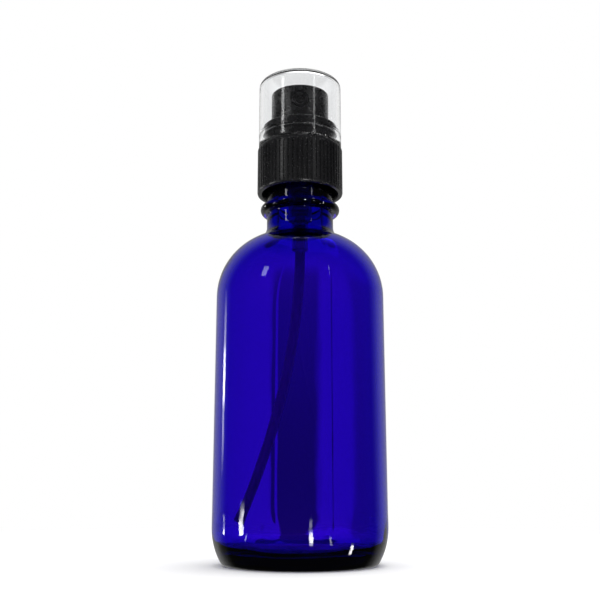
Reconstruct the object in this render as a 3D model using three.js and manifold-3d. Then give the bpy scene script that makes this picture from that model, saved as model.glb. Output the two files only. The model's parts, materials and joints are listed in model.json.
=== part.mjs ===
// Fine-mist perfume atomiser: a round glass bottle with a screw-on pump sprayer.
// Units are millimetres, +Z is up, and the origin is the centre of the bottle's base.
// The nozzle faces -Y and the dip tube curls towards -X.
// The sprayer stands in the neck one full turn short of tight, its threads just clear of the bottle's.

import * as THREE from 'three';
import { mergeVertices } from 'three/addons/utils/BufferGeometryUtils.js';
import Module from 'manifold-3d';

const wasm = await Module();
wasm.setup();

// ---------- driving dimensions ----------

const BOTTLE_RADIUS = 24.25;
const BOTTLE_HEIGHT = 112.7;
const SHOULDER_START = 74.8;
const SHOULDER_RADIUS = 19.1;
const HEEL_TOP = 9.8;
const HEEL_RADIUS = 17;
const HEEL_CORNER = 2;
const PUSH_UP = 1.5;
const PUSH_UP_EDGE = 18;
const PUSH_UP_BEND = 10.8;
const PUSH_UP_BEND_HEIGHT = 1.2;
const GLASS_WALL = 2.2;
const BASE_THICKNESS = 3.9;
const INNER_CORNER = 4;
const INNER_CROWN = 0.8;

const NECK_RADIUS = 9.85;
const NECK_FILLET = 4;
const BORE_RADIUS = 6.3;
const BORE_FILLET = 6;
const BEAD_HEIGHT = 101.6;
const BEAD_CENTRE = 10.35;
const BEAD_ROUND = 1.4;
const LIP_CHAMFER = 0.5;

const PITCH = 3.175;
const BOTTLE_THREAD_START = 107.4;
const BOTTLE_THREAD_ROUND = 1.1;
const BOTTLE_THREAD_CENTRE = 9.9;
const BOTTLE_THREAD_SINK = 1.3;
const CLOSURE_THREAD_ROUND = 0.85;
const CLOSURE_THREAD_CENTRE = 11.2;
const CLOSURE_THREAD_SINK = 0.9;
const CLOSURE_THREAD_ARC = 300;
const CLOSURE_THREAD_ROOT = 0.4;
const THREAD_FADE = 0.08;

const CLOSURE_RADIUS = 12.8;
const CLOSURE_BORE = 11.25;
const CLOSURE_RIM = -9.3;
const CLOSURE_RIM_BREAK = 0.3;
const CLOSURE_PLATE_BOTTOM = 4.1;
const CLOSURE_PLATE_TOP = 5.5;
const COLLAR_RADIUS = 10.9;
const COLLAR_BORE = 9.3;
const COLLAR_TOP = 12;
const COLLAR_BEAD = 0.3;
const COLLAR_BEAD_HALF = 0.6;
const COLLAR_BREAK = 0.4;
const PLATE_HOLE = 5;
const EDGE_CHAMFER = 0.6;
const RIB_COUNT = 60;
const RIB_DEPTH = 0.35;
const RIB_START = 0.9;
const RIB_FOOT = 0.08;
const RIB_CREST = 0.28;
const RIB_BAND = 0.5;

const GASKET_THICKNESS = 1.5;
const FLANGE_BOTTOM = 1.6;
const FLANGE_TOP = 2.8;
const FLANGE_RADIUS = 9;
const BARREL_RADIUS = 4.3;
const HOUSING_RADIUS = 3.5;
const TAPER_BOTTOM = -9.6;
const TAPER_TOP = -8.6;
const PUMP_BORE = 3;
const PUMP_BORE_BOTTOM = -8.8;
const SPRING_CHAMBER = 2.15;
const SPRING_SHELF = -17;
const HOUSING_STEP = -18.8;
const SOCKET_BOTTOM = -26;
const SOCKET_BORE = 1.45;
const SOCKET_WALL = 0.85;
const SOCKET_DRAFT = 0.15;
const INLET_RADIUS = 0.6;
const INLET_LENGTH = 0.9;
const BALL_SEAT = -19.6;
const BALL_RADIUS = 1;
const BALL_RISE = 0.85;
const BALL_POCKET = 1.25;
const BALL_MOUTH = 0.92;
const BALL_MOUTH_DEPTH = 0.3;

const CHAPLET_PLUG_BOTTOM = 1.2;
const CHAPLET_BRIM_RADIUS = 7.6;
const CHAPLET_NECK_RADIUS = 4.6;
const CHAPLET_TOP = 7.5;
const SEAL_BOTTOM = 0.3;
const SEAL_TOP = 1.15;

const STEM_RADIUS = 1.9;
const STEM_BORE = 0.85;
const STEM_TOP = 17;
const STEM_SHOULDER = 0.6;
const STEM_NARROW = 1.3;
const STEM_BOTTOM = -4;
const PISTON_TOP = 0;
const PISTON_LIP = 0.5;
const PISTON_WAIST = 0.4;
const POST_BOTTOM = -8;
const POST_PIN = 2.6;
const SPIGOT_RADIUS = 1.3;
const SPIGOT_LENGTH = 1.6;
const SPIGOT_TAPER = 0.3;
const SPIGOT_TAPER_HEIGHT = 0.4;

const WIRE = 0.44;
const SPRING_MEAN_RADIUS = 1.78;
const SPRING_TURNS = 7;
const SPRING_DEAD_TURNS = 1;
const DEAD_COIL_GAP = 0.06;

const TUBE_RADIUS = 1.425;
const TUBE_BORE = 0.85;
const TUBE_TOP = -20.7;
const TUBE_TIP = -104.7;
const TUBE_CURL_RADIUS = 190;

const ACTUATOR_RADIUS = 8.7;
const ACTUATOR_BOTTOM = 10.9;
const ACTUATOR_TOP = 22.5;
const ACTUATOR_DISH = 1.3;
const ACTUATOR_EDGE = 0.8;
const ACTUATOR_WALL = 1.2;
const ACTUATOR_CEILING = 13.8;
const BOSS_RADIUS = 3.4;
const BOSS_BOTTOM = 12.8;
const NOZZLE_HEIGHT = 17.8;
const NOZZLE_RADIUS = 2.3;
const NOZZLE_DEPTH = 3;
const NOZZLE_RECESS = 0.35;
const SWIRL_RADIUS = 0.6;
const ORIFICE_RADIUS = 0.2;
const CHANNEL_RADIUS = 0.5;
const CHANNEL_START = 1;
const BORE_ROOF = 0.6;
const FUNNEL_RADIUS = 0.9;
const FUNNEL_DEPTH = 0.5;
const ORIFICE_DEPTH = 0.9;

const OVERCAP_RADIUS = 12.5;
const OVERCAP_WALL = 1;
const OVERCAP_BOTTOM = 5.6;
const OVERCAP_TOP = 26.5;
const OVERCAP_EDGE = 1.4;
const OVERCAP_CORNER = 0.8;

const SLIP = 0.05;
const RUNNING = 0.1;
const BREAK = 0.2;
const COARSE = 36;
const MEDIUM = 24;
const SMALL = 20;

// ---------- materials ----------

function finish(color, roughness, metalness = 0, opacity = 1) {
  return new THREE.MeshStandardMaterial({
    color,
    roughness,
    metalness,
    opacity,
    transparent: opacity < 1,
  });
}

const cobaltGlass = () => finish(0x1a1196, 0.05, 0, 0.75);
const blackPlastic = () => finish(0x101012, 0.32);
const naturalPlastic = () => finish(0xb9b2aa, 0.4, 0, 0.7);
const whitePlastic = () => finish(0xe6e3dd, 0.5);
const steel = () => finish(0x9a9a9a, 0.25, 1);
const foam = () => finish(0xf0efea, 0.9);
const clearPlastic = () => finish(0xeef2f4, 0.06, 0, 0.3);

// ---------- geometry helpers ----------

const point = (x, y) => new THREE.Vector2(x, y);
const radians = THREE.MathUtils.degToRad;
const degrees = THREE.MathUtils.radToDeg;

// Points along an arc, both ends included, with angles in degrees from the radius direction towards +Z.
function arc(centreX, centreY, radius, from, to, steps) {
  const points = [];
  for (let i = 0; i <= steps; i += 1) {
    const angle = radians(from + ((to - from) * i) / steps);
    points.push(point(centreX + radius * Math.cos(angle), centreY + radius * Math.sin(angle)));
  }
  return points;
}

// A solid of revolution about Z. Its outline runs counter-clockwise, with +Z up and the axis on the left.
function turned(outline, segments, closed) {
  const points = closed ? [...outline, outline[0].clone()] : outline;
  return new THREE.LatheGeometry(points, segments).rotateX(Math.PI / 2);
}

const ring = (outline, segments) => turned(outline, segments, true);
const round = (outline, segments) => turned(outline, segments, false);

function toSolid(geometry) {
  const bare = geometry.clone();
  bare.deleteAttribute('normal');
  bare.deleteAttribute('uv');
  const merged = mergeVertices(bare, 1e-4);
  const triangles = [];
  const index = merged.index.array;
  for (let i = 0; i < index.length; i += 3) {
    const [a, b, c] = index.slice(i, i + 3);
    if (a !== b && b !== c && c !== a) {
      triangles.push(a, b, c);
    }
  }
  return new wasm.Manifold(new wasm.Mesh({
    numProp: 3,
    vertProperties: new Float32Array(merged.attributes.position.array),
    triVerts: new Uint32Array(triangles),
  }));
}

function toGeometry(solid) {
  const mesh = solid.getMesh();
  const geometry = new THREE.BufferGeometry();
  geometry.setAttribute('position', new THREE.BufferAttribute(mesh.vertProperties, 3));
  geometry.setIndex(new THREE.BufferAttribute(mesh.triVerts, 1));
  geometry.computeVertexNormals();
  return geometry;
}

function circle(radius, sides) {
  const corners = [];
  for (let i = 0; i < sides; i += 1) {
    const angle = (2 * Math.PI * i) / sides;
    corners.push(point(radius * Math.cos(angle), radius * Math.sin(angle)));
  }
  return new THREE.Shape(corners);
}

function swept(shape, path, steps) {
  return new THREE.ExtrudeGeometry(shape, { steps, extrudePath: path, bevelEnabled: false });
}

// A right-hand helix about Z whose radius and height are functions of the share travelled.
class Helix extends THREE.Curve {
  constructor(turns, start, radiusAt, heightAt) {
    super();
    this.turns = turns;
    this.start = start;
    this.radiusAt = radiusAt;
    this.heightAt = heightAt;
  }

  getPoint(share, target = new THREE.Vector3()) {
    const angle = this.start + 2 * Math.PI * this.turns * share;
    const radius = this.radiusAt(share);
    return target.set(radius * Math.cos(angle), radius * Math.sin(angle), this.heightAt(share));
  }
}

// A rounded thread bead that sinks by its own size into the wall at both ends.
function threadBead({ turns, start, radius, size, sink, from, steps }) {
  const radiusAt = (share) => {
    const grown = THREE.MathUtils.smoothstep(Math.min(share, 1 - share), 0, THREAD_FADE);
    return radius + sink * (1 - grown);
  };
  const heightAt = (share) => from + PITCH * turns * share;
  return toSolid(swept(circle(size, 8), new Helix(turns, start, radiusAt, heightAt), steps));
}

// ---------- bottle ----------

function bottleOutside() {
  const heelX = BOTTLE_RADIUS - HEEL_RADIUS;
  const cornerRise = HEEL_TOP - HEEL_CORNER;
  const cornerReach = HEEL_RADIUS - HEEL_CORNER;
  const cornerX = heelX + Math.sqrt(cornerReach ** 2 - cornerRise ** 2);
  const cornerAngle = degrees(Math.asin(-cornerRise / cornerReach));
  const shoulderX = BOTTLE_RADIUS - SHOULDER_RADIUS;
  const filletX = NECK_RADIUS + NECK_FILLET;
  const reach = SHOULDER_RADIUS + NECK_FILLET;
  const filletZ = SHOULDER_START + Math.sqrt(reach ** 2 - (filletX - shoulderX) ** 2);
  const shoulderEnd = degrees(Math.acos((filletX - shoulderX) / reach));
  return [
    point(0, PUSH_UP),
    point(PUSH_UP_BEND, PUSH_UP_BEND_HEIGHT),
    point(PUSH_UP_EDGE, 0),
    ...arc(cornerX, HEEL_CORNER, HEEL_CORNER, -90, cornerAngle, 2),
    ...arc(heelX, HEEL_TOP, HEEL_RADIUS, cornerAngle, 0, 4).slice(1),
    ...arc(shoulderX, SHOULDER_START, SHOULDER_RADIUS, 0, shoulderEnd, 8),
    ...arc(filletX, filletZ, NECK_FILLET, shoulderEnd + 180, 180, 3).slice(1),
    ...arc(BEAD_CENTRE, BEAD_HEIGHT, BEAD_ROUND, -90, 90, 4),
    point(NECK_RADIUS, BEAD_HEIGHT + BEAD_ROUND),
    point(NECK_RADIUS, BOTTLE_HEIGHT - LIP_CHAMFER),
    point(NECK_RADIUS - LIP_CHAMFER, BOTTLE_HEIGHT),
  ];
}

function bottleInside() {
  const heelX = BOTTLE_RADIUS - HEEL_RADIUS;
  const heelR = HEEL_RADIUS - GLASS_WALL;
  const cornerZ = BASE_THICKNESS + INNER_CORNER;
  const cornerReach = heelR - INNER_CORNER;
  const cornerX = heelX + Math.sqrt(cornerReach ** 2 - (HEEL_TOP - cornerZ) ** 2);
  const cornerAngle = degrees(Math.asin((cornerZ - HEEL_TOP) / cornerReach));
  const shoulderX = BOTTLE_RADIUS - SHOULDER_RADIUS;
  const shoulderR = SHOULDER_RADIUS - GLASS_WALL;
  const filletX = BORE_RADIUS + BORE_FILLET;
  const reach = shoulderR + BORE_FILLET;
  const filletZ = SHOULDER_START + Math.sqrt(reach ** 2 - (filletX - shoulderX) ** 2);
  const shoulderEnd = degrees(Math.acos((filletX - shoulderX) / reach));
  return [
    point(BORE_RADIUS + LIP_CHAMFER, BOTTLE_HEIGHT),
    point(BORE_RADIUS, BOTTLE_HEIGHT - LIP_CHAMFER),
    ...arc(filletX, filletZ, BORE_FILLET, 180, shoulderEnd + 180, 3),
    ...arc(shoulderX, SHOULDER_START, shoulderR, shoulderEnd, 0, 6).slice(1),
    point(heelX + heelR, HEEL_TOP),
    ...arc(cornerX, cornerZ, INNER_CORNER, cornerAngle, -90, 4),
    point(0, BASE_THICKNESS + INNER_CROWN),
  ];
}

function bottle() {
  const glass = toSolid(round([...bottleOutside(), ...bottleInside()], COARSE));
  const thread = threadBead({
    turns: 1,
    start: 0,
    radius: BOTTLE_THREAD_CENTRE,
    size: BOTTLE_THREAD_ROUND,
    sink: -BOTTLE_THREAD_SINK,
    from: BOTTLE_THREAD_START,
    steps: 36,
  });
  return toGeometry(glass.add(thread));
}

// ---------- sprayer, with z = 0 at the lip when the closure is tight ----------

function ribs() {
  const root = CLOSURE_RADIUS - RIB_DEPTH;
  const profile = [
    [RIB_FOOT, root],
    [RIB_CREST, CLOSURE_RADIUS],
    [1 - RIB_CREST, CLOSURE_RADIUS],
    [1 - RIB_FOOT, root],
  ];
  const corners = [];
  for (let i = 0; i < RIB_COUNT; i += 1) {
    for (const [share, radius] of profile) {
      const angle = (2 * Math.PI * (i + share)) / RIB_COUNT;
      corners.push(point(radius * Math.cos(angle), radius * Math.sin(angle)));
    }
  }
  const outline = new THREE.Shape(corners);
  outline.holes.push(circle(root - RIB_BAND, COARSE));
  const bottom = CLOSURE_RIM + RIB_START;
  const depth = CLOSURE_PLATE_BOTTOM - bottom;
  const band = new THREE.ExtrudeGeometry(outline, { depth, bevelEnabled: false });
  return toSolid(band.translate(0, 0, bottom));
}

function closure() {
  const skirt = CLOSURE_RADIUS - RIB_DEPTH;
  const bead = COLLAR_RADIUS + COLLAR_BEAD;
  const beadZ = (CLOSURE_PLATE_TOP + COLLAR_TOP) / 2;
  const body = toSolid(ring([
    point(CLOSURE_BORE + CLOSURE_RIM_BREAK, CLOSURE_RIM),
    point(skirt - BREAK, CLOSURE_RIM),
    point(skirt, CLOSURE_RIM + CLOSURE_RIM_BREAK),
    point(skirt, CLOSURE_PLATE_TOP - EDGE_CHAMFER),
    point(skirt - EDGE_CHAMFER, CLOSURE_PLATE_TOP),
    point(COLLAR_RADIUS, CLOSURE_PLATE_TOP),
    point(COLLAR_RADIUS, beadZ - COLLAR_BEAD_HALF),
    point(bead, beadZ),
    point(COLLAR_RADIUS, beadZ + COLLAR_BEAD_HALF),
    point(COLLAR_RADIUS, COLLAR_TOP - COLLAR_BREAK),
    point(COLLAR_RADIUS - COLLAR_BREAK, COLLAR_TOP),
    point(COLLAR_BORE, COLLAR_TOP),
    point(COLLAR_BORE, CLOSURE_PLATE_TOP),
    point(PLATE_HOLE, CLOSURE_PLATE_TOP),
    point(PLATE_HOLE, CLOSURE_PLATE_BOTTOM),
    point(CLOSURE_BORE, CLOSURE_PLATE_BOTTOM),
    point(CLOSURE_BORE, CLOSURE_RIM + EDGE_CHAMFER),
  ], COARSE));
  const turns = CLOSURE_THREAD_ARC / 360;
  const lead = (1 - turns) / 2;
  const thread = threadBead({
    turns,
    start: 2 * Math.PI * lead,
    radius: CLOSURE_THREAD_CENTRE,
    size: CLOSURE_THREAD_ROUND,
    sink: CLOSURE_THREAD_SINK,
    from: BOTTLE_THREAD_START - BOTTLE_HEIGHT - PITCH / 2 + PITCH * lead,
    steps: 32,
  });
  const core = toSolid(round([
    point(0, CLOSURE_RIM),
    point(CLOSURE_BORE + CLOSURE_THREAD_ROOT, CLOSURE_RIM),
    point(CLOSURE_BORE + CLOSURE_THREAD_ROOT, CLOSURE_PLATE_BOTTOM),
    point(0, CLOSURE_PLATE_BOTTOM),
  ], COARSE));
  return toGeometry(body.add(ribs()).add(thread.intersect(core)));
}

function closureGasket() {
  return ring([
    point(BARREL_RADIUS + SLIP, SLIP),
    point(FLANGE_RADIUS, SLIP),
    point(FLANGE_RADIUS, GASKET_THICKNESS),
    point(BARREL_RADIUS + SLIP, GASKET_THICKNESS),
  ], COARSE);
}

function pumpHousing() {
  const socketTop = BALL_SEAT - INLET_LENGTH;
  const socket = SOCKET_BORE + SOCKET_WALL;
  return ring([
    point(PUMP_BORE, PUMP_BORE_BOTTOM),
    point(SPRING_CHAMBER, PUMP_BORE_BOTTOM),
    point(SPRING_CHAMBER, SPRING_SHELF),
    point(BALL_MOUTH, SPRING_SHELF),
    point(BALL_MOUTH, SPRING_SHELF - BALL_MOUTH_DEPTH),
    point(BALL_POCKET, SPRING_SHELF - BALL_MOUTH_DEPTH),
    point(BALL_POCKET, BALL_SEAT + BALL_POCKET - INLET_RADIUS),
    point(INLET_RADIUS, BALL_SEAT),
    point(INLET_RADIUS, socketTop),
    point(SOCKET_BORE, socketTop),
    point(SOCKET_BORE, SOCKET_BOTTOM),
    point(socket, SOCKET_BOTTOM),
    point(socket + SOCKET_DRAFT, BALL_SEAT),
    point(HOUSING_RADIUS, HOUSING_STEP),
    point(HOUSING_RADIUS, TAPER_BOTTOM),
    point(BARREL_RADIUS, TAPER_TOP),
    point(BARREL_RADIUS, FLANGE_BOTTOM),
    point(FLANGE_RADIUS, FLANGE_BOTTOM),
    point(FLANGE_RADIUS, FLANGE_TOP),
    point(PUMP_BORE, FLANGE_TOP),
  ], MEDIUM);
}

function chaplet() {
  const hole = STEM_RADIUS + RUNNING;
  const plug = PUMP_BORE - SLIP;
  const seat = FLANGE_TOP + SLIP;
  const brim = CLOSURE_PLATE_BOTTOM - RUNNING;
  return ring([
    point(hole, CHAPLET_PLUG_BOTTOM),
    point(plug, CHAPLET_PLUG_BOTTOM),
    point(plug, seat),
    point(CHAPLET_BRIM_RADIUS, seat),
    point(CHAPLET_BRIM_RADIUS, brim),
    point(CHAPLET_NECK_RADIUS, brim),
    point(CHAPLET_NECK_RADIUS, CHAPLET_TOP - BREAK),
    point(CHAPLET_NECK_RADIUS - BREAK, CHAPLET_TOP),
    point(hole, CHAPLET_TOP),
  ], MEDIUM);
}

function stemSeal() {
  return ring([
    point(STEM_RADIUS + RUNNING, SEAL_BOTTOM),
    point(PUMP_BORE - SLIP, SEAL_BOTTOM),
    point(PUMP_BORE - SLIP, SEAL_TOP),
    point(STEM_RADIUS + RUNNING, SEAL_TOP),
  ], MEDIUM);
}

function stem() {
  return ring([
    point(STEM_BORE, STEM_BOTTOM),
    point(STEM_NARROW, STEM_BOTTOM),
    point(STEM_NARROW, STEM_SHOULDER),
    point(STEM_RADIUS, STEM_SHOULDER),
    point(STEM_RADIUS, STEM_TOP),
    point(STEM_BORE, STEM_TOP),
  ], MEDIUM);
}

// The two lips wipe the bore, and the stem moves a little inside the sleeve before it carries it along.
function piston() {
  const lip = PUMP_BORE - SLIP;
  const waist = lip - PISTON_WAIST;
  const hole = STEM_NARROW + RUNNING;
  return ring([
    point(hole, STEM_BOTTOM),
    point(lip, STEM_BOTTOM),
    point(lip, STEM_BOTTOM + PISTON_LIP),
    point(waist, STEM_BOTTOM + 2 * PISTON_LIP),
    point(waist, PISTON_TOP - 2 * PISTON_LIP),
    point(lip, PISTON_TOP - PISTON_LIP),
    point(lip, PISTON_TOP),
    point(hole, PISTON_TOP),
  ], MEDIUM);
}

function valvePost() {
  const head = STEM_BOTTOM - RUNNING;
  const pin = STEM_BORE - RUNNING;
  return round([
    point(0, POST_BOTTOM - SPIGOT_LENGTH),
    point(SPIGOT_RADIUS - SPIGOT_TAPER, POST_BOTTOM - SPIGOT_LENGTH),
    point(SPIGOT_RADIUS, POST_BOTTOM - SPIGOT_LENGTH + SPIGOT_TAPER_HEIGHT),
    point(SPIGOT_RADIUS, POST_BOTTOM),
    point(STEM_RADIUS, POST_BOTTOM),
    point(STEM_RADIUS, head),
    point(pin, head),
    point(pin, head + POST_PIN),
    point(0, head + POST_PIN),
  ], SMALL);
}

// Closed end coils lie against each other, and the turns between share the rest of the height evenly.
function returnSpring() {
  const bottom = SPRING_SHELF + SLIP + WIRE / 2;
  const top = POST_BOTTOM - SLIP - WIRE / 2;
  const endRise = WIRE + DEAD_COIL_GAP;
  const dead = SPRING_DEAD_TURNS / SPRING_TURNS;
  const heightAt = (share) => {
    if (share < dead) {
      return bottom + (endRise * share) / dead;
    }
    if (share > 1 - dead) {
      return top - (endRise * (1 - share)) / dead;
    }
    const middle = (share - dead) / (1 - 2 * dead);
    return bottom + endRise + (top - bottom - 2 * endRise) * middle;
  };
  const coil = new Helix(SPRING_TURNS, 0, () => SPRING_MEAN_RADIUS, heightAt);
  return swept(circle(WIRE / 2, 6), coil, SPRING_TURNS * 14);
}

function checkBall() {
  const ball = new THREE.SphereGeometry(BALL_RADIUS, 12, 8);
  return ball.rotateX(Math.PI / 2).translate(0, 0, BALL_SEAT + BALL_RISE);
}

// The tube runs straight through its socket, then bends along one long arc towards -X.
class DipTubeLine extends THREE.Curve {
  getPoint(share, target = new THREE.Vector3()) {
    const straight = TUBE_TOP - SOCKET_BOTTOM;
    const sweep = Math.asin((SOCKET_BOTTOM - TUBE_TIP) / TUBE_CURL_RADIUS);
    const along = share * (straight + TUBE_CURL_RADIUS * sweep);
    if (along <= straight) {
      return target.set(0, 0, TUBE_TOP - along);
    }
    const angle = (along - straight) / TUBE_CURL_RADIUS;
    const aside = TUBE_CURL_RADIUS * (1 - Math.cos(angle));
    return target.set(-aside, 0, SOCKET_BOTTOM - TUBE_CURL_RADIUS * Math.sin(angle));
  }
}

function dipTube() {
  const wall = circle(TUBE_RADIUS, 12);
  wall.holes.push(circle(TUBE_BORE, 12));
  return swept(wall, new DipTubeLine(), 20);
}

function cylinderTowardsFront(radius, from, to, height, sides) {
  const length = to - from;
  const rod = new THREE.CylinderGeometry(radius, radius, length, sides);
  return toSolid(rod.translate(0, from + length / 2, height));
}

function actuator() {
  const rim = ACTUATOR_RADIUS - ACTUATOR_EDGE;
  const inside = ACTUATOR_RADIUS - ACTUATOR_WALL;
  const dishRadius = (rim ** 2 + ACTUATOR_DISH ** 2) / (2 * ACTUATOR_DISH);
  const dishCentre = ACTUATOR_TOP - ACTUATOR_DISH + dishRadius;
  const dishHalf = degrees(Math.asin(rim / dishRadius));
  const body = toSolid(round([
    point(0, NOZZLE_HEIGHT + BORE_ROOF),
    point(STEM_BORE, NOZZLE_HEIGHT + BORE_ROOF),
    point(STEM_BORE, STEM_TOP + SLIP),
    point(STEM_RADIUS + SLIP, STEM_TOP + SLIP),
    point(STEM_RADIUS + SLIP, BOSS_BOTTOM),
    point(BOSS_RADIUS, BOSS_BOTTOM),
    point(BOSS_RADIUS, ACTUATOR_CEILING),
    point(inside, ACTUATOR_CEILING),
    point(inside, ACTUATOR_BOTTOM),
    point(ACTUATOR_RADIUS - BREAK, ACTUATOR_BOTTOM),
    point(ACTUATOR_RADIUS, ACTUATOR_BOTTOM + BREAK),
    ...arc(rim, ACTUATOR_TOP - ACTUATOR_EDGE, ACTUATOR_EDGE, 0, 90, 3),
    ...arc(0, dishCentre, dishRadius, dishHalf - 90, -90, 4).slice(1),
  ], COARSE));
  const back = NOZZLE_DEPTH - ACTUATOR_RADIUS;
  const pocket = cylinderTowardsFront(NOZZLE_RADIUS, -2 * ACTUATOR_RADIUS, back, NOZZLE_HEIGHT, SMALL);
  const channel = cylinderTowardsFront(CHANNEL_RADIUS, back - CHANNEL_START, 0, NOZZLE_HEIGHT, 10);
  return toGeometry(body.subtract(pocket).subtract(channel));
}

// A cup with its open swirl chamber at the back and the orifice in its recessed face.
function nozzleInsert() {
  const back = ACTUATOR_RADIUS - NOZZLE_DEPTH + SLIP;
  const front = ACTUATOR_RADIUS - NOZZLE_RECESS;
  const rim = NOZZLE_RADIUS - SLIP;
  const cup = ring([
    point(SWIRL_RADIUS, back),
    point(rim, back),
    point(rim, front - BREAK),
    point(rim - BREAK, front),
    point(FUNNEL_RADIUS, front),
    point(ORIFICE_RADIUS, front - FUNNEL_DEPTH),
    point(ORIFICE_RADIUS, front - ORIFICE_DEPTH),
    point(SWIRL_RADIUS, front - ORIFICE_DEPTH),
  ], SMALL);
  return cup.rotateX(Math.PI / 2).translate(0, 0, NOZZLE_HEIGHT);
}

function overcap() {
  const inside = OVERCAP_RADIUS - OVERCAP_WALL;
  const ceiling = OVERCAP_TOP - OVERCAP_WALL;
  return round([
    point(0, ceiling),
    point(inside - OVERCAP_CORNER, ceiling),
    point(inside, ceiling - OVERCAP_CORNER),
    point(inside, OVERCAP_BOTTOM),
    point(OVERCAP_RADIUS, OVERCAP_BOTTOM),
    ...arc(OVERCAP_RADIUS - OVERCAP_EDGE, OVERCAP_TOP - OVERCAP_EDGE, OVERCAP_EDGE, 0, 90, 3),
    point(0, OVERCAP_TOP),
  ], COARSE);
}

// ---------- assembly ----------

function piece(name, geometry, material) {
  const mesh = new THREE.Mesh(geometry, material);
  mesh.name = name;
  return mesh;
}

const gasket = piece('closure_gasket', closureGasket(), foam());
gasket.position.z = BOTTLE_HEIGHT;

const sprayer = new THREE.Group();
sprayer.position.z = BOTTLE_HEIGHT + PITCH;
sprayer.add(
  piece('closure', closure(), blackPlastic()),
  piece('pump_housing', pumpHousing(), naturalPlastic()),
  piece('chaplet', chaplet(), naturalPlastic()),
  piece('stem_seal', stemSeal(), whitePlastic()),
  piece('stem', stem(), naturalPlastic()),
  piece('piston', piston(), whitePlastic()),
  piece('valve_post', valvePost(), naturalPlastic()),
  piece('return_spring', returnSpring(), steel()),
  piece('check_ball', checkBall(), steel()),
  piece('dip_tube', dipTube(), naturalPlastic()),
  piece('actuator', actuator(), blackPlastic()),
  piece('nozzle_insert', nozzleInsert(), blackPlastic()),
  piece('overcap', overcap(), clearPlastic()),
);

const atomiser = new THREE.Group();
atomiser.add(piece('bottle', bottle(), cobaltGlass()), gasket, sprayer);

export default atomiser;
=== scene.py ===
"""Perfume atomiser: the fine visual model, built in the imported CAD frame.

Outlines are in millimetres and turned about an axis. Most are (radius, height, fillet) corners.
Sprayer heights are counted from SPRAYER, the height that meets the bottle's lip once the closure is tight.
"""

import json
import math

import bpy
from mathutils import Matrix, Vector, noise


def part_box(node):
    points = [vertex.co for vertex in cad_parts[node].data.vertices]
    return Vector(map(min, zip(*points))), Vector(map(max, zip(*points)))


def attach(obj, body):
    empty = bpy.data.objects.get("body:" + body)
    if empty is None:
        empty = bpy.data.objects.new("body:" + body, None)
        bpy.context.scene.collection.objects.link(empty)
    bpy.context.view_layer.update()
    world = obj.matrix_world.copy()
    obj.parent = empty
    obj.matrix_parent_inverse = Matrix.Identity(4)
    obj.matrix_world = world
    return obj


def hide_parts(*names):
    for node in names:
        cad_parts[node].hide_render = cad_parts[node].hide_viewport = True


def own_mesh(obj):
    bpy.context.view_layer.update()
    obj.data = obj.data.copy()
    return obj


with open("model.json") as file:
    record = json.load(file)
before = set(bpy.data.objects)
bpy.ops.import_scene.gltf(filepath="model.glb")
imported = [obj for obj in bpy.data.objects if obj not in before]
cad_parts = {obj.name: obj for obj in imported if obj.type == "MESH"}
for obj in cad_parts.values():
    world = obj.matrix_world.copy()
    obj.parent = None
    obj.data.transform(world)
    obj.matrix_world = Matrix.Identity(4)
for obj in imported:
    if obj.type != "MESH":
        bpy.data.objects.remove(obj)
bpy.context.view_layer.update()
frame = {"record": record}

MM = 0.001

# ---------- sizes, in millimetres ----------

LOW, HIGH = (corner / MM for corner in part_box("bottle"))
BODY_R = (HIGH.x - LOW.x) / 2
LIP = HIGH.z
FLANGE_TOP = 2.8
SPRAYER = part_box("stem")[1].z / MM - 17

SHOULDER_Z = 74.8
SHOULDER_R = 19.1
HEEL_Z = 9.8
HEEL_R = 17
HEEL_CORNER = 2
WALL = 2.2
BASE = 3.9
INNER_CORNER = 4
HEEL_TOP = HEEL_Z + 6
HEEL_WAVE = 0.07
HEEL_WAVE_LENGTH = 4.5
SEAM_ANGLES = (math.radians(289), math.radians(109))
SEAM_HEIGHT = 0.05
SEAM_HALF = 0.7
STIPPLES = 90
STIPPLE_R = 19.2
STIPPLE_HALF = 1.4
STIPPLE_DEPTH = 0.05

NECK_R = 9.85
NECK_FILLET = 4
BORE_R = 6.3
BORE_FILLET = 6
LIP_MID_R = BORE_R + 1.8
BEAD_Z = 101.6
BEAD_X = 10.35
BEAD_R = 1.4

PITCH = 3.175
THREAD_Z = 107.4
THREAD_HEIGHT = 1.15
THREAD_HALF = 1.25
SKIRT_THREAD_HEIGHT = 0.9
SKIRT_THREAD_HALF = 1.0
THREAD_FADE = 0.07

SKIRT_R = 12.8
SKIRT_BORE = 11.25
RIM = -9.3
RIBS = 60
RIB_DEPTH = 0.35
DECK = 5.5
COLLAR_R = 10.9
COLLAR_BORE = 9.3

SPRING_R = 1.78
WIRE_R = 0.22
SPRING_TURNS = 7
SPRING_BOTTOM = -16.95
SPRING_TOP = -8.05

TUBE_R = 1.425
TUBE_BORE = 0.85
TUBE_TOP = -20.7
SOCKET_END = -26.0
TUBE_TIP = -104.7
TUBE_CURL = 190.0

NOZZLE_Z = 17.8
NOZZLE_R = 2.3
ACTUATOR_R = 8.7

BODY_OF = {node: body for body, nodes in frame["record"]["behaviour"]["bodies"].items() for node in nodes}


# ---------- outlines ----------

def arc(x, z, radius, start, end, step=4.0):
    """Points of an arc about (x, z), angles in degrees from the radius direction towards +Z."""
    count = max(2, math.ceil(abs(end - start) / step))
    angles = [math.radians(start + (end - start) * i / count) for i in range(count + 1)]
    return [(x + radius * math.cos(a), z + radius * math.sin(a)) for a in angles]


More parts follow.
